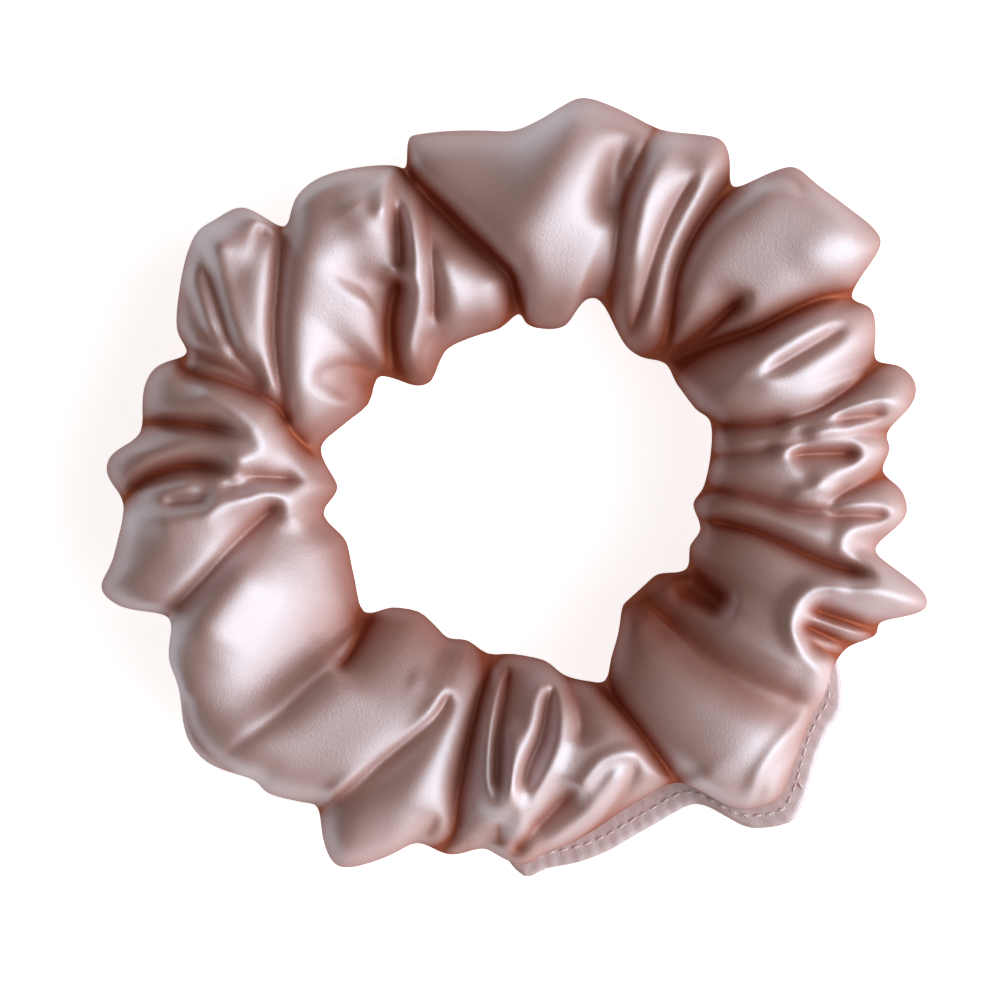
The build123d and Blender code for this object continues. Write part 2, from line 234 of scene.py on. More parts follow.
ROLLS = [
    # The hairpin fold left of the top puff, and the fan beside it.
    Roll(
        [(131, 21.5), (125, 24), (119.8, 26.4), (116.4, 29.2), (113.6, 33), (111.4, 37),
         (109.8, 41), (109.2, 43.3), (110.6, 45.4), (112.9, 44.3), (114.6, 42), (115.8, 38.5)],
        2, 1.4,
    ),
    Roll([(120, 46), (118.5, 41), (118.5, 37)], 1.2, 2.6),
    Roll([(107, 35), (106.8, 30), (108.5, 25), (112, 21)], 1.2, 2),
    # The top puff.
    Roll([(85, 60), (84, 46), (85, 38), (89, 31), (92, 20)], 1.9, 5.5),
    Roll([(72, 51), (72.4, 44), (71.6, 36)], -2.8, 2.4),
    Roll([(68.6, 54), (69.8, 48.5), (70.8, 43)], 1, 1.3),
    # Between the top puff and the pocket.
    Roll([(66.2, 58), (66.2, 46), (65, 39), (61.5, 31)], 1.4, 2.3),
    Roll([(59.6, 52.5), (58.2, 49), (57.2, 43.3), (55.6, 38), (51.5, 31), (48, 25)], 0.8, 1.4),
    # The puff with the pocket, at the upper right.
    Roll([(38, 60), (38, 53), (36.5, 47)], 0.7, 3.4),
    # The fine folds on the right.
    Roll([(30, 56), (28.8, 47), (28.6, 40), (28, 35), (26.4, 31)], 1.4, 1.8),
    Roll([(23.6, 57), (23.4, 47), (23.4, 40), (24, 33)], 1, 2.3),
    Roll(
        [(13.6, 36), (13.4, 42), (13.6, 47), (13.2, 51.5), (11.3, 53.3), (9.9, 51), (10.2, 46),
         (10.6, 39)],
        1.5, 1.1,
    ),
    Roll(
        [(9.2, 34), (8.5, 38), (8.3, 44.5), (7.4, 47.7), (5.8, 48.9), (4.2, 47.2), (3, 43.3),
         (0.8, 39)],
        1.5, 1.1,
    ),
    Roll(
        [(360.2, 44.5), (359.6, 40.5), (358.5, 38), (357.3, 41), (357.3, 47), (356.6, 51.6),
         (354.8, 50.6), (353.6, 46), (351, 44.6), (347.4, 45.4)],
        1.4, 1.2,
    ),
    # The horn and the hooked fold.
    Roll([(344.4, 63), (344.3, 52), (343.6, 44)], 1.2, 1.5),
    Roll(
        [(343.8, 47), (342.3, 42.8), (340, 41.1), (337, 40.4), (333.9, 41), (331.9, 42.7),
         (330.4, 45.2), (329.2, 48.7), (327, 52)],
        1.7, 1.3,
    ),
    Roll([(337.2, 57), (336.8, 46), (336.4, 41)], 0.8, 1),
    Roll([(341.2, 57), (341, 44)], 0.6, 1.1),
    # The hollows of the large puff at the lower right, and the folds along its lip.
    Roll([(331.4, 34), (330.6, 30), (331.8, 24)], -5.5, 2.2),
    Roll([(329, 54), (327.2, 46), (325.4, 38), (325, 28), (325.5, 14)], 2, 2.6),
    Roll([(325.5, 53), (322, 44), (319.6, 36), (318.4, 30), (318, 20)], -3.8, 4),
    Roll([(346, 24), (336, 23), (326, 20), (316, 19), (304, 22)], -3.4, 11),
    Roll(
        [(328, 51.5), (321.5, 49.9), (316, 49.3), (310.8, 50.2), (307.4, 52), (305.5, 55)],
        1.1, 1,
    ),
    Roll([(325, 53.2), (317, 52), (312.3, 52.2), (307.5, 55)], 0.9, 0.8),
    # The flap and its tip.
    Roll([(292, 39.6), (287.7, 41.6), (281.5, 44.9), (274.5, 48.4)], 0.8, 0.9),
    Roll([(296, 40.5), (295, 39), (292, 38), (288, 38), (284.5, 39.5), (279, 43)], 1, 0.9),
    # The hairpin folds at the bottom.
    Roll(
        [(283.8, 24.5), (282.6, 30), (280, 34), (276.8, 37.6), (274.4, 41), (273.2, 45)],
        1.5, 1.4,
    ),
    Roll(
        [(283, 25), (279.4, 25.8), (276.4, 27.4), (274.6, 30.8), (272.2, 34.5), (270.2, 38.3),
         (270, 41), (271.3, 44.5), (270.8, 48.5)],
        1.7, 1.6,
    ),
    Roll(
        [(269.4, 30), (268.9, 36), (268.5, 40.4), (266.9, 42.4), (265.2, 40.8), (264.2, 36),
         (263.6, 30), (264, 23)],
        1.7, 1.5,
    ),
    Roll([(252.6, 50), (252.4, 38), (253, 26)], 0.7, 3.6),
    # The leaf-shaped end of the lower left puff.
    Roll([(252, 26.5), (249.4, 34), (245.6, 39.6), (241.2, 45), (238, 49.5)], 1.3, 1.3),
    Roll([(250.4, 29.4), (248.4, 28.5), (245.4, 28.6), (240, 29)], 0.6, 1.3),
    # The lower left puffs.
    Roll([(224.5, 56), (225, 40), (228, 26)], 1, 5),
    Roll([(209, 50), (203, 44), (198, 38), (192, 33)], 2.6, 5),
    Roll([(221, 50), (219.5, 42), (218.5, 33), (219, 24)], -1.8, 4.5),
    # The fine folds on the left.
    Roll(
        [(184.6, 55), (184.6, 46), (183.4, 39), (181.4, 34), (181.6, 31.4), (185, 30.2),
         (192, 31)],
        1.7, 1.9,
    ),
    Roll([(179.7, 39.5), (179.4, 34.5)], -1.6, 1),
    Roll([(180.7, 52), (180, 46), (179, 41)], 0.9, 1.2),
    Roll(
        [(175.2, 40), (174.3, 36), (171.6, 34.2), (168, 34.8), (165, 37.2), (163, 40.5),
         (162.2, 46)],
        1.4, 1.7,
    ),
    Roll([(187, 50), (187.2, 43), (185.6, 37)], 1, 2),
    # The upper left puff, lower than the one that lies over it.
    Roll([(141, 62), (140.4, 52), (142, 46)], 1.8, 3),
    Roll([(155, 26), (147, 26), (140.5, 23.4)], -2.2, 2.8),
    Roll([(139, 53.4), (144.6, 48), (150, 43), (155, 38.4)], 1, 1.6),
    Roll([(144.5, 54), (149.5, 49), (154, 44.6)], 1, 1.4),
    Roll([(166, 32), (157, 33), (149, 34.5), (141, 37.5), (133, 41.5), (124, 43)], 1.3, 4),
    Roll([(131, 34), (126, 34.5), (120.5, 31)], -2, 3.4),
]

# How far outwards of the middle of the cloth its highest line lies, as a share of half its width.
LEAN = [
    (0, -0.2), (12, -0.3), (24, -0.42), (32, 0.05), (40, 0.35), (49, 0.3), (58, -0.05), (66, 0),
    (76, 0.1), (90, -0.1), (104, 0), (112, 0.3), (122, 0.45), (134, 0.42), (145, 0.2),
    (160, 0.1), (172, 0.1), (185, 0.15), (194, 0.3), (205, 0.58), (219, 0.58), (231, 0.38),
    (246, 0.2), (258, 0.2), (270, 0.1), (285, 0), (296, 0.15), (303, 0.2), (314, 0.2), (328, 0.3),
    (338, 0.3), (344, 0.1), (352, -0.1),
]


# ---------------------------------------------------------------- the cloth as a height map

ANGLE_STEP = 0.25
RADIUS_STEP = 0.3
RADII = np.arange(15, 64, RADIUS_STEP)
ANGLES = np.arange(0, 360, ANGLE_STEP)
WIDE_FADE = 9  # length over which one side of a crease comes to lie over the other
BILLOW = 3.2  # how much further from a crease the round of a puff begins than its steep side
BILLOW_SHARE = 0.33  # and how much of the crease's depth is in it
PAINTED_GAP_SHADE_WIDTH = 1.1  # how far the painted shade at the bottom of a crease reaches
PAINTED_SHADE_IN_DIP = 0.2  # how much painted shade there is over the whole width of a crease, for its depth
OVERLAP_WIDTH = 4  # how far from a crease its raised side stays raised
OVERLAP_STEP = 0.6  # width of the step up to it
MOST_DIP = 10.5  # the deepest that creases get together
SMOOTH_ACROSS = 0.4  # evens out the cloth across the ring
SMOOTH_ROUND = 0.6  # and round it, in degrees
EDGE_SMOOTH = 0.5  # the same for the ring's edges, in degrees
NEAR = 45  # degrees past a fold's ends that it is worked out for
DEEPEST = 3  # where creases meet, the deepest counts most: 1 would add them up


def round_the_ring(pairs):
    """A smooth curve through (angle, value) pairs, at each of ANGLES."""
    before, after = pairs[-2:], pairs[:2]
    closed = [(a - 360, v) for a, v in before] + pairs + [(a + 360, v) for a, v in after]
    angles, values = rounded(closed).T
    return soften(np.interp(ANGLES, angles, values), EDGE_SMOOTH / ANGLE_STEP, 0)


def soften(values, sigma, axis):
    """A Gaussian blur along an axis. Round the ring (axis 0) it wraps; across it, it doesn't."""
    reach = int(3 * sigma) + 1
    offsets = np.arange(-reach, reach + 1)
    weights = np.exp(-((offsets / sigma) ** 2) / 2)
    weights /= weights.sum()
    if axis == 0:
        return sum(w * np.roll(values, o, 0) for w, o in zip(weights, offsets))
    padded = np.pad(values, ((0, 0), (reach, reach)), mode="edge")
    return sum(
        w * padded[:, reach + o : reach + o + values.shape[1]] for w, o in zip(weights, offsets)
    )


def plan(angle, radius):
    turn = np.radians(angle)
    return np.stack([radius * np.cos(turn), radius * np.sin(turn)], -1)


def rounded(points):
    """A smooth line through the points, three steps to each stretch."""
    p = np.array([points[0], *points, points[-1]], float)
    steps = []
    for before, start, end, after in zip(p, p[1:], p[2:], p[3:]):
        for t in (0, 1 / 3, 2 / 3):
            steps.append(
                start
                + t * (end - before) / 2
                + t**2 * (2 * before - 5 * start + 4 * end - after) / 2
                + t**3 * (3 * start - before - 3 * end + after) / 2
            )
    return np.array([*steps, p[-1]])


def from_line(points):
    """The map cells near a line: index, distance, side, distance from its nearer end, length."""
    line = plan(*rounded(points).T)
    angles = [p[0] for p in points]
    first, last = int((min(angles) - NEAR) / ANGLE_STEP), int((max(angles) + NEAR) / ANGLE_STEP)
    near = np.arange(first, last)
    here = plan(ANGLES[near % len(ANGLES)][:, None], RADII[None, :])
    distance = np.full(here.shape[:2], np.inf)
    side = np.zeros(here.shape[:2])
    passed = np.zeros(here.shape[:2])
    length = 0
    for start, end in zip(line, line[1:]):
        along = end - start
        offset = here - start
        share = np.clip((offset @ along) / (along @ along), 0, 1)
        gap = offset - share[..., None] * along
        step = np.hypot(*along)
        apart = np.hypot(gap[..., 0], gap[..., 1])
        nearer = apart < distance
        distance[nearer] = apart[nearer]
        side[nearer] = np.sign(along[0] * offset[..., 1] - along[1] * offset[..., 0])[nearer]
        passed[nearer] = (length + share * step)[nearer]
        length += step
    return near % len(ANGLES), distance, side, np.minimum(passed, length - passed), length


def begun(from_end, length, fade):
    """How fully a fold has risen at a distance from the nearer end of its line."""
    share = np.clip(from_end / min(fade, length / 3), 0, 1)
    return share * share * (3 - 2 * share)


def fold_map():
    """Height of the folds, and the painted shade of each place for its depth, over ANGLES and
    RADII.
    """
    dips = np.zeros((len(ANGLES), len(RADII)))
    rolls = np.zeros_like(dips)
    painted_gap_shade = np.zeros_like(dips)
    for crease in CREASES + PLEATS:
        cells, distance, side, from_end, length = from_line(crease.points)
        depth = crease.depth * begun(from_end, length, crease.fade)
        roundness = BILLOW_SHARE * begun(from_end, length, WIDE_FADE)
        width = np.where(side > 0, crease.anticlockwise, crease.clockwise)
        steep, gentle = np.exp(-distance / width), np.exp(-distance / (BILLOW * width))
        dips[cells] += (depth * (steep + roundness * (gentle - steep))) ** DEEPEST
        # Painted shade: a line along the bottom of each crease, darker the deeper the crease.
        painted_gap_shade[cells] += (depth * np.exp(-distance / PAINTED_GAP_SHADE_WIDTH)) ** DEEPEST
        over = crease.raised * begun(from_end, length, WIDE_FADE)
        step = np.minimum(distance / OVERLAP_STEP, 1)
        rolls[cells] += over * side * np.exp(-distance / OVERLAP_WIDTH) * step
    dips, painted_gap_shade = np.minimum(dips ** (1 / DEEPEST), MOST_DIP), painted_gap_shade ** (1 / DEEPEST)
    for roll in ROLLS:
        cells, distance, side, from_end, length = from_line(roll.points)
        height = roll.height * begun(from_end, length, max(FADE, 2 * roll.width))
        rolls[cells] += height * np.exp(-((distance / roll.width) ** 2))
    height = soften(rolls - dips, SMOOTH_ACROSS / RADIUS_STEP, 1)
    height = soften(height, SMOOTH_ROUND / ANGLE_STEP, 0)
    # The second map is painted shade: darker at the bottom of creases, over their width, in slots
    # and hollows, and on the lower side where one side of a crease lies over the other; raised
    # rolls take it away again.
    return height, painted_gap_shade + PAINTED_SHADE_IN_DIP * dips - rolls


# ---------------------------------------------------------------- the satin skin

CREST = 13.1  # height of the puffs above and below the tube's middle, before the folds
FULLNESS = 0.8  # 1 gives a section the shape of an ellipse, and less makes it squarer
CENTRE_BLUR = 4.5  # degrees over which the tube's middle line is evened out between its two edges
AROUND_SECTION = 160
CLOTH = 1.0  # thickness of the gathered cloth
INNER_RIM_SHADE = 6  # painted shade on the side walls, as much as is painted in a crease of this depth
OUTER_RIM_SHADE = 4.5
RIM_FALL = 1.2  # how fast that painted shade falls away from the middle of the wall
MOST_SHADE = 12
UNDERSIDE_TWIST = 5  # degrees that the folds underneath lie round from those on top, at most
TWIST_WAVES = 3  # how often that goes to and fro, once round the ring
END_SEAM = 297.5  # the angle of the end seam, where there is no twist
FLATTENED = 0.15  # what is left of the depth of folds that would reach below the table
LIP_ROOT = 3  # how far the lip's two layers run into the tube
LIP_THICKNESS = 1
LIP_SIDES = 24
LIP_ROUNDNESS = 0.3  # 1 gives its section the shape of an ellipse
LIP_STEP = 0.25  # degrees
LIP_PUCKER = 0.02  # height of the small waves that the stitching draws in the lip
LIP_PUCKERS = (170, 170 * 0.37)  # of the two sets of them round the whole ring


def look_up(grid, angle, radius):
    """Values of a map at angles and radii, between its cells."""
    a = (angle % 360) / ANGLE_STEP
    r = np.clip((radius - RADII[0]) / RADIUS_STEP, 0, len(RADII) - 1.001)
    a0, r0 = np.floor(a).astype(int), np.floor(r).astype(int)
    fa, fr = a - a0, r - r0
    a0, a1 = a0 % len(ANGLES), (a0 + 1) % len(ANGLES)
    low = grid[a0, r0] * (1 - fr) + grid[a0, r0 + 1] * fr
    high = grid[a1, r0] * (1 - fr) + grid[a1, r0 + 1] * fr
    return low * (1 - fa) + high * fa


def satin_points(folds, inset=0):
    """The skin's points, angle by position round the section, in mm."""
    outer, inner = round_the_ring(OUTER_EDGE), round_the_ring(INNER_EDGE)
    turn = np.linspace(0, 2 * np.pi, AROUND_SECTION, endpoint=False)
    angle = ANGLES[:, None]
    centre = soften((outer + inner) / 2, CENTRE_BLUR / ANGLE_STEP, 0)
    outwards, inwards = (outer - centre - inset)[:, None], (centre - inner - inset)[:, None]
    lean = soften(round_the_ring(LEAN) * (outer - inner) / 2, CENTRE_BLUR / ANGLE_STEP, 0)[:, None]
    reach = np.where(np.cos(turn) > 0, outwards, inwards)
    radius = centre[:, None] + reach * np.cos(turn) + lean * np.sin(turn) ** 2
    dome = np.abs(np.sin(turn))[None, :] ** FULLNESS
    below = np.sin(turn)[None, :] < 0
    wave = np.sin(np.radians(TWIST_WAVES * (ANGLES - END_SEAM)))
    twist = UNDERSIDE_TWIST * wave[:, None] * dome
    fold = look_up(folds, angle + np.where(below, twist, 0), radius)
    height = dome * (CREST + fold - inset)
    z = np.where(below, -height, height)
    table = inset - MIDDLE
    z = np.where(z < table, table + FLATTENED * (z - table), z)
    xy = plan(np.broadcast_to(angle, radius.shape), radius)
    return np.concatenate([xy, z[..., None]], -1)


def lip_points():
    """A thin strip round the lip's edge and back into the tube, angle by position round it."""
    angles = np.arange(LIP_EDGE[0][0], LIP_EDGE[-1][0], LIP_STEP)
    edge = np.interp(angles, *rounded(LIP_EDGE).T)
    root = look_up_ring(round_the_ring(OUTER_EDGE), angles) - LIP_ROOT
    turn = np.linspace(0, 2 * np.pi, LIP_SIDES, endpoint=False)
    rounding = np.sign(np.cos(turn)) * np.abs(np.cos(turn)) ** LIP_ROUNDNESS
    share = (rounding + 1) / 2
    radius = root[:, None] + (edge - root)[:, None] * share
    turns = np.radians(angles)
    often, seldom = LIP_PUCKERS
    pucker = LIP_PUCKER * (np.sin(turns * often) + np.sin(turns * seldom + 1))
    pucker = pucker[:, None] * share
    z = LIP_THICKNESS / 2 * np.sin(turn) + pucker
    xy = plan(np.broadcast_to(angles[:, None], radius.shape), radius)
    return np.concatenate([xy, z[..., None]], -1)


def look_up_ring(values, angles):
    """Values kept at ANGLES, at other angles."""
    return np.interp(angles % 360, [*ANGLES, 360], [*values, values[0]])


def lowest_nearby(grid, reach=3):
    """The lowest value within a few cells."""
    for _ in range(reach):
        grid = np.minimum.reduce([grid, np.roll(grid, 1, 0), np.roll(grid, -1, 0)])
        grid = np.minimum.reduce([grid, np.roll(grid, 1, 1), np.roll(grid, -1, 1)])
    return grid


def grid_faces(across, around, start, inside_out=False, closed=True):
    rows = np.arange(across if closed else across - 1)[:, None] * around
    cols = np.arange(around)[None, :]
    nxt_rows = (rows + around) % (across * around)
    nxt_cols = (cols + 1) % around
    quads = np.stack(
        [rows + cols, nxt_rows + cols, nxt_rows + nxt_cols, rows + nxt_cols], -1
    ).reshape(-1, 4)
    if inside_out:
        quads = quads[:, ::-1]
    return quads + start


def satin_skin():
    """The satin, the height of its long seam and its section at the end seam's thread."""
    folds, shade = fold_map()
    outside = satin_points(folds)
    inside = satin_points(lowest_nearby(folds), CLOTH)[::2, ::2]
    lowest = outside[..., 2].min()
    lip = lip_points()
    for points in (outside, inside, lip):
        points[..., 2] -= lowest
    vertices = np.concatenate([p.reshape(-1, 3) for p in (outside, inside, lip)]) * MM
    inside_start = outside[..., 0].size
    lip_start = inside_start + inside[..., 0].size
    lip_end = lip_start + lip[..., 0].size
    faces = [
        *grid_faces(*outside.shape[:2], 0).tolist(),
        *grid_faces(*inside.shape[:2], inside_start, inside_out=True).tolist(),
        *grid_faces(*lip.shape[:2], lip_start, inside_out=True, closed=False).tolist(),
        list(range(lip_start, lip_start + LIP_SIDES)),
        list(range(lip_end - LIP_SIDES, lip_end))[::-1],
    ]
    mesh = bpy.data.meshes.new("satin")
    mesh.from_pydata(vertices.tolist(), [], faces)
    mesh.shade_smooth()
    obj = bpy.data.objects.new("satin", mesh)
    bpy.context.scene.collection.objects.link(obj)
    # The point attribute named crease carries painted shade: that of the fold map, plus painted
    # shade on the side walls.
    painted_shade_attribute = mesh.attributes.new("crease", "FLOAT", "POINT")
    radius = np.hypot(outside[..., 0], outside[..., 1])
    turn = np.linspace(0, 2 * np.pi, AROUND_SECTION, endpoint=False)
    # Painted shade on the side walls, strongest half way up them, and more on the inner wall than
    # the outer.
    rim_shade_strength = np.where(np.cos(turn) < 0, INNER_RIM_SHADE, OUTER_RIM_SHADE)
    painted_rim_shade = rim_shade_strength * (1 - np.abs(np.sin(turn))) ** RIM_FALL
    values = np.zeros(len(vertices), np.float32)
    shade = look_up(shade, ANGLES[:, None], radius) + painted_rim_shade
    values[:inside_start] = np.clip(shade, 0, MOST_SHADE).ravel()
    painted_shade_attribute.data.foreach_set("value", values)
    end_section = satin_points(folds, CLOTH + END_SEAM_INSET)[int(END_SEAM / ANGLE_STEP)]
    return obj, -lowest, end_section


# ---------------------------------------------------------------- stitching

STITCH_LENGTH = 1.2
STITCH_PITCH = 1.7  # from the start of one stitch to the start of the next
THREAD_THICKNESS = 0.4
THREAD_SIDES = 6
SPINDLE = [(0.12, 0.75), (0.5, 1), (0.88, 0.75)]  # fullness of a stitch at shares of its length
NEVER_ALONG = (0.3, 0.2, 1)  # a direction that no stitch runs in
TOPSTITCH_SETBACK = 2.1  # from the lip's edge
TOPSTITCH_MARGINS = (2, 3)  # degrees that it stops short of the lip's two ends
THREAD_END_ANGLE = 314
THREAD_END = [(55.2, 0.5), (56, 0.9), (56.6, 0.6)]  # radius, and height above the seam
ROW_STEP = 0.5  # degrees
SEAM_SETBACK = 4.5  # of the hidden seams from the outside of the tube
SEAM_LAYERS = 1.4  # thickness of the two layers that a seam joins
END_SEAM_INSET = 0.4  # of the end seam's thread from the inside of the cloth


def topstitch_rows(height):
    """On both faces of the lip, and the thread's end, which stands out of the upper one."""
    before, after = TOPSTITCH_MARGINS
    angles = np.arange(LIP_EDGE[0][0] + before, LIP_EDGE[-1][0] - after, ROW_STEP)
    radius = np.interp(angles, *rounded(LIP_EDGE).T) - TOPSTITCH_SETBACK
    rows = [flat_row(angles, radius, height + side * LIP_THICKNESS / 2) for side in (1, -1)]
    end = [(*plan(THREAD_END_ANGLE, radius), height + z) for radius, z in THREAD_END]
    return rows + [np.array(end)]


def long_seam_rows(height):
    """Round the tube from one end of the lip to the other, on both faces of the seam."""
    angles = np.arange(LIP_EDGE[-1][0], LIP_EDGE[0][0] + 360, ROW_STEP)
    radius = look_up_ring(round_the_ring(OUTER_EDGE), angles) - SEAM_SETBACK
    return [flat_row(angles, radius, height + side * SEAM_LAYERS / 2) for side in (1, -1)]


def end_seam_rows(height, section):
    """Round the tube's section at the end seam, just inside the satin, on both faces of it."""
    section = np.concatenate([section, section[:1]])
    radius = np.hypot(section[:, 0], section[:, 1])
    rows = []
    for side in (1, -1):
        angle = END_SEAM + side * np.degrees(SEAM_LAYERS / 2 / radius)
        rows.append(np.concatenate([plan(angle, radius), section[:, 2:] + height], -1))
    return rows


def flat_row(angles, radius, height):
    return np.concatenate([plan(angles, radius), np.full((len(angles), 1), height)], -1)


def stitching(name, rows):
    """Rows of single stitches, each a short spindle of thread."""
    vertices, faces = [], []
    for row in rows:
        steps = np.concatenate([[0], np.cumsum(np.linalg.norm(np.diff(row, axis=0), axis=1))])
        last_start = max(steps[-1] - STITCH_LENGTH, 0.01)  # a short row gets one stitch
        starts = np.arange(0, last_start, STITCH_PITCH)
        for start in starts:
            ends = [start, start + STITCH_LENGTH]
            add_spindle(vertices, faces, *np.transpose([np.interp(ends, steps, x) for x in row.T]))
    mesh = bpy.data.meshes.new(name)
    mesh.from_pydata([tuple(v * MM) for v in vertices], [], faces)
    mesh.shade_smooth()
    obj = bpy.data.objects.new(name, mesh)
    bpy.context.scene.collection.objects.link(obj)
    return obj


def add_spindle(vertices, faces, start, end):
    """A stitch from start to end, full in the middle and pointed at both ends."""
    along = (end - start) / np.linalg.norm(end - start)
    aside = np.cross(along, NEVER_ALONG)
    aside /= np.linalg.norm(aside)
    over = np.cross(aside, along)
    first = len(vertices)
    vertices.append(start)
    for share, fullness in SPINDLE:
        for side in range(THREAD_SIDES):
            turn = 2 * math.pi * side / THREAD_SIDES
            out = aside * math.cos(turn) + over * math.sin(turn)
            vertices.append(start + (end - start) * share + out * fullness * THREAD_THICKNESS / 2)
    vertices.append(end)
    last = len(vertices) - 1
    for side in range(THREAD_SIDES):
        nxt = (side + 1) % THREAD_SIDES
        ring = [first + 1 + side, first + 1 + nxt]
        faces.append((first, ring[1], ring[0]))
        for step in (0, THREAD_SIDES):
            a, b = ring[0] + step, ring[1] + step
            faces.append((a, b, b + THREAD_SIDES, a + THREAD_SIDES))
        faces.append((last, ring[0] + 2 * THREAD_SIDES, ring[1] + 2 * THREAD_SIDES))


# ---------------------------------------------------------------- finishes

# Sizes of patterns are scales of Blender's textures in metres, and depths are in metres.
PLY_SCALE = 1400
PLY_DEPTH = 0.00008
BRAID_SCALE = 320
BRAID_UNEVENNESS = 1.5
BRAID_DEPTH = 0.00015
WEAVE_SCALE = 3000
WEAVE_DEPTH = 0.00004
MOTTLE_SCALE = 1300
MOTTLE = (0.9, 1.1)  # from the darkest to the lightest patch of satin
SHADE_RANGE = (0.3, 6.5)  # of the painted shade, from plain satin to the darkest painted shade
SATIN = (0.57, 0.24, 0.165, 1)
# The cloth's colour where the painted shade is deepest, in creases and on the side walls.
SATIN_IN_PAINTED_SHADE = (0.34, 0.065, 0.028, 1)
GLEAM = (0.80, 0.89, 0.98, 1)
# The gleam's colour where the painted shade is deepest.
GLEAM_IN_PAINTED_SHADE = (0.35, 0.14, 0.09, 1)
GLEAM_ROUGHNESS = 0.56
GLEAM_SHARE = 0.40  # of the satin's light


def object_noise(nodes, links, scale, detail=2):
    """Noise over the object, its patches about 1 / scale of a metre wide."""
    place = nodes.new("ShaderNodeTexCoord")
    noise = nodes.new("ShaderNodeTexNoise")
    noise.inputs["Scale"].default_value = scale
    noise.inputs["Detail"].default_value = detail
    links.new(place.outputs["Object"], noise.inputs["Vector"])
    return noise.outputs["Fac"]


def bump(nodes, links, height, distance):
    node = nodes.new("ShaderNodeBump")
    node.inputs["Distance"].default_value = distance
    links.new(height, node.inputs["Height"])
    return node.outputs["Normal"]


def thread_finish(name, light, groove_shade):
    """Twisted thread: its plies show as fine slanting bumps, with painted shade in the grooves
    between them.
    """
    material, nodes, links = new_material(name)
    shader = nodes["Principled BSDF"]
    place = nodes.new("ShaderNodeTexCoord")
    plies = nodes.new("ShaderNodeTexWave")
    plies.bands_direction = "DIAGONAL"
    plies.inputs["Scale"].default_value = PLY_SCALE
    links.new(place.outputs["Object"], plies.inputs["Vector"])
    # Painted shade: the colour is darker where the bumps are low, between the plies.
    colour = nodes.new("ShaderNodeMix")
    colour.data_type = "RGBA"
    colour.inputs["A"].default_value = (*groove_shade, 1)
    colour.inputs["B"].default_value = (*light, 1)
    links.new(plies.outputs["Fac"], colour.inputs["Factor"])
    links.new(colour.outputs["Result"], shader.inputs["Base Color"])
    links.new(bump(nodes, links, plies.outputs["Fac"], PLY_DEPTH), shader.inputs["Normal"])
    shader.inputs["Roughness"].default_value = 0.5
    shader.inputs["Sheen Weight"].default_value = 0.3
    return material


def braid_finish():
    """White braided elastic: two crossing sets of ribs, with painted shade between them."""
    material, nodes, links = new_material("braided elastic")
    shader = nodes["Principled BSDF"]
    place = nodes.new("ShaderNodeTexCoord")
    ribs = []
    for direction in ("X", "Y"):
        wave = nodes.new("ShaderNodeTexWave")
        wave.bands_direction = direction
        wave.inputs["Scale"].default_value = BRAID_SCALE
        wave.inputs["Distortion"].default_value = BRAID_UNEVENNESS
        links.new(place.outputs["Object"], wave.inputs["Vector"])
        ribs.append(wave.outputs["Fac"])
    crossed = nodes.new("ShaderNodeMath")
    crossed.operation = "MAXIMUM"
    links.new(ribs[0], crossed.inputs[0])
    links.new(ribs[1], crossed.inputs[1])
    # Painted shade: the white is greyer where the ribs are low.
    colour = nodes.new("ShaderNodeMix")
    colour.data_type = "RGBA"
    colour.inputs["A"].default_value = (0.55, 0.54, 0.50, 1)
    colour.inputs["B"].default_value = (0.82, 0.81, 0.77, 1)
    links.new(crossed.outputs["Value"], colour.inputs["Factor"])
    links.new(colour.outputs["Result"], shader.inputs["Base Color"])
    links.new(bump(nodes, links, crossed.outputs["Value"], BRAID_DEPTH), shader.inputs["Normal"])
    shader.inputs["Roughness"].default_value = 0.75
    return material


def new_material(name):
    material = bpy.data.materials.new(name)
    material.use_nodes = True
    return material, material.node_tree.nodes, material.node_tree.links


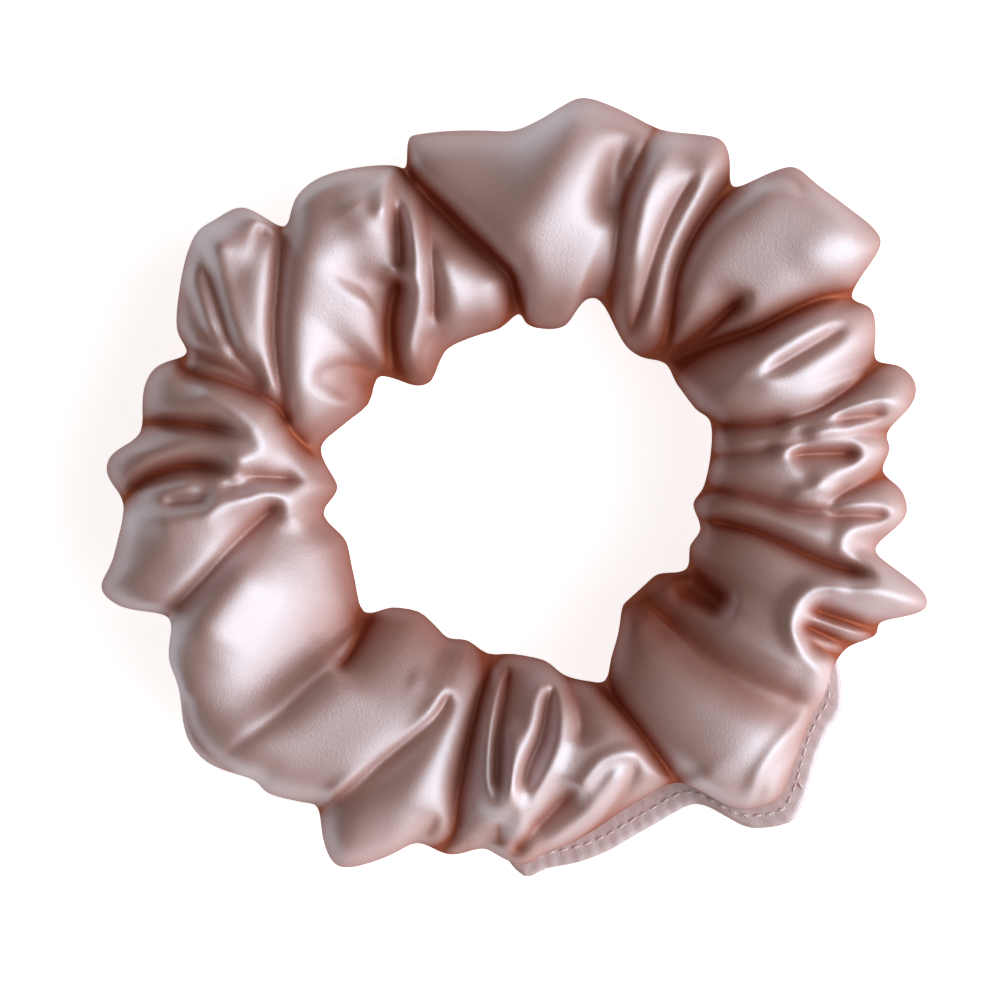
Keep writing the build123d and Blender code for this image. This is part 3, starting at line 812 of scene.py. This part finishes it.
def satin_finish():
    """Warm cloth under a broad, cool sheen, with painted shade that makes both darker and redder
    in the creases, hollows and side walls.
    """
    material, nodes, links = new_material("satin")
    nodes.remove(nodes["Principled BSDF"])
    # share is how much painted shade each place gets, from the attribute named crease.
    crease = nodes.new("ShaderNodeAttribute")
    crease.attribute_name = "crease"
    share = nodes.new("ShaderNodeMapRange")
    share.inputs["From Min"].default_value = SHADE_RANGE[0]
    share.inputs["From Max"].default_value = SHADE_RANGE[1]
    links.new(crease.outputs["Fac"], share.inputs["Value"])
    # The cloth's colour, made darker and redder by painted shade.
    cloth = nodes.new("ShaderNodeMix")
    cloth.data_type = "RGBA"
    cloth.inputs["A"].default_value = SATIN
    cloth.inputs["B"].default_value = SATIN_IN_PAINTED_SHADE
    links.new(share.outputs["Result"], cloth.inputs["Factor"])
    weave = bump(nodes, links, object_noise(nodes, links, WEAVE_SCALE), WEAVE_DEPTH)
    patches = nodes.new("ShaderNodeMapRange")
    patches.inputs["To Min"].default_value = MOTTLE[0]
    patches.inputs["To Max"].default_value = MOTTLE[1]
    links.new(object_noise(nodes, links, MOTTLE_SCALE, detail=4), patches.inputs["Value"])
    mottled = nodes.new("ShaderNodeVectorMath")
    mottled.operation = "SCALE"
    links.new(cloth.outputs["Result"], mottled.inputs[0])
    links.new(patches.outputs["Result"], mottled.inputs["Scale"])
    dull = nodes.new("ShaderNodeBsdfDiffuse")
    links.new(mottled.outputs["Vector"], dull.inputs["Color"])
    links.new(weave, dull.inputs["Normal"])
    # The gleam's colour, made darker by the same painted shade.
    gleam_and_painted_shade = nodes.new("ShaderNodeMix")
    gleam_and_painted_shade.data_type = "RGBA"
    gleam_and_painted_shade.inputs["A"].default_value = GLEAM
    gleam_and_painted_shade.inputs["B"].default_value = GLEAM_IN_PAINTED_SHADE
    links.new(share.outputs["Result"], gleam_and_painted_shade.inputs["Factor"])
    gleam = nodes.new("ShaderNodeBsdfAnisotropic")
    gleam.inputs["Roughness"].default_value = GLEAM_ROUGHNESS
    links.new(weave, gleam.inputs["Normal"])
    links.new(gleam_and_painted_shade.outputs["Result"], gleam.inputs["Color"])
    both = nodes.new("ShaderNodeMixShader")
    both.inputs["Fac"].default_value = GLEAM_SHARE
    links.new(dull.outputs["BSDF"], both.inputs[1])
    links.new(gleam.outputs["BSDF"], both.inputs[2])
    links.new(both.outputs["Shader"], nodes["Material Output"].inputs["Surface"])
    return material


satin, seam_height, end_section = satin_skin()
satin.data.materials.append(satin_finish())
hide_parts("satin_cover")
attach(satin, "cover")

# The second colour of each thread is painted shade for the grooves between its plies.
thread = thread_finish("sewing thread", (0.92, 0.84, 0.82), (0.66, 0.48, 0.43))
for node, rows in (
    ("closing_topstitch", topstitch_rows(seam_height)),
    ("long_seam_stitch", long_seam_rows(seam_height)),
    ("end_seam_stitch", end_seam_rows(seam_height, end_section)),
):
    piece = stitching(node + "es", rows)
    piece.data.materials.append(thread)
    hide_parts(node)
    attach(piece, "cover")

elastic_thread = thread_finish("elastic thread", (0.85, 0.84, 0.80), (0.60, 0.58, 0.53))
for node, finish in (("elastic_band", braid_finish()), ("elastic_join_stitch", elastic_thread)):
    bpy.data.objects[node].material_slots[0].material = finish

# ---------------------------------------------------------------- floor, light and camera

FLOOR_SIZE = 4
FLOOR_GLOW = 0.8  # added to the floor where the camera sees it, by itself or in a gloss
WINDOW = (0.84, -0.20, 0.50)  # direction of the window from the ring
WINDOW_FOCUS = 6  # the higher, the smaller the bright part of the room
WINDOW_COLOUR = (4.6, 4.95, 5.2)
ROOM_COLOUR = (0.14, 0.115, 0.10)
VIEW_WIDTH = 0.13527  # of what the camera sees at the tube's middle
VIEW_CENTRE = (-0.0018935, -0.0014878)
CAMERA_HEIGHT = 0.9


def floor():
    """A pale floor, white behind the object, that still takes its shadow."""
    bpy.ops.mesh.primitive_plane_add(size=FLOOR_SIZE)
    plane = bpy.context.object
    plane.name = "floor"
    material, nodes, links = new_material("pale floor")
    shader = nodes["Principled BSDF"]
    shader.inputs["Base Color"].default_value = (0.9, 0.9, 0.9, 1)
    shader.inputs["Roughness"].default_value = 0.9
    shader.inputs["Emission Color"].default_value = (1, 1, 1, 1)
    ray = nodes.new("ShaderNodeLightPath")
    seen = ray.outputs["Is Camera Ray"]
    for other in ("Is Glossy Ray", "Is Transmission Ray"):
        either = nodes.new("ShaderNodeMath")
        either.use_clamp = True
        links.new(seen, either.inputs[0])
        links.new(ray.outputs[other], either.inputs[1])
        seen = either.outputs["Value"]
    glow = nodes.new("ShaderNodeMath")
    glow.operation = "MULTIPLY"
    glow.inputs[1].default_value = FLOOR_GLOW
    links.new(seen, glow.inputs[0])
    links.new(glow.outputs["Value"], shader.inputs["Emission Strength"])
    plane.data.materials.append(material)


def window_light():
    """A room that is brightest towards one large window, with no edge to the light."""
    world = bpy.data.worlds.new("room")
    bpy.context.scene.world = world
    world.use_nodes = True
    nodes, links = world.node_tree.nodes, world.node_tree.links
    background = nodes["Background"]
    direction = nodes.new("ShaderNodeTexCoord")
    towards = nodes.new("ShaderNodeVectorMath")
    towards.operation = "DOT_PRODUCT"
    towards.inputs[1].default_value = WINDOW
    links.new(direction.outputs["Generated"], towards.inputs[0])
    above = nodes.new("ShaderNodeMath")
    above.operation = "MAXIMUM"
    above.inputs[1].default_value = 0
    links.new(towards.outputs["Value"], above.inputs[0])
    narrow = nodes.new("ShaderNodeMath")
    narrow.operation = "POWER"
    narrow.inputs[1].default_value = WINDOW_FOCUS
    links.new(above.outputs["Value"], narrow.inputs[0])
    mix = nodes.new("ShaderNodeMix")
    mix.data_type = "RGBA"
    mix.clamp_factor = False
    mix.inputs["A"].default_value = (*ROOM_COLOUR, 1)
    mix.inputs["B"].default_value = (*WINDOW_COLOUR, 1)
    links.new(narrow.outputs["Value"], mix.inputs["Factor"])
    links.new(mix.outputs["Result"], background.inputs["Color"])


floor()
window_light()

camera_data = bpy.data.cameras.new("camera")
camera_data.lens = camera_data.sensor_width * (CAMERA_HEIGHT - MIDDLE * MM) / VIEW_WIDTH
camera = bpy.data.objects.new("camera", camera_data)
bpy.context.scene.collection.objects.link(camera)
camera.location = (*VIEW_CENTRE, CAMERA_HEIGHT)
bpy.context.scene.camera = camera

scene = bpy.context.scene
scene.view_settings.view_transform = "Standard"
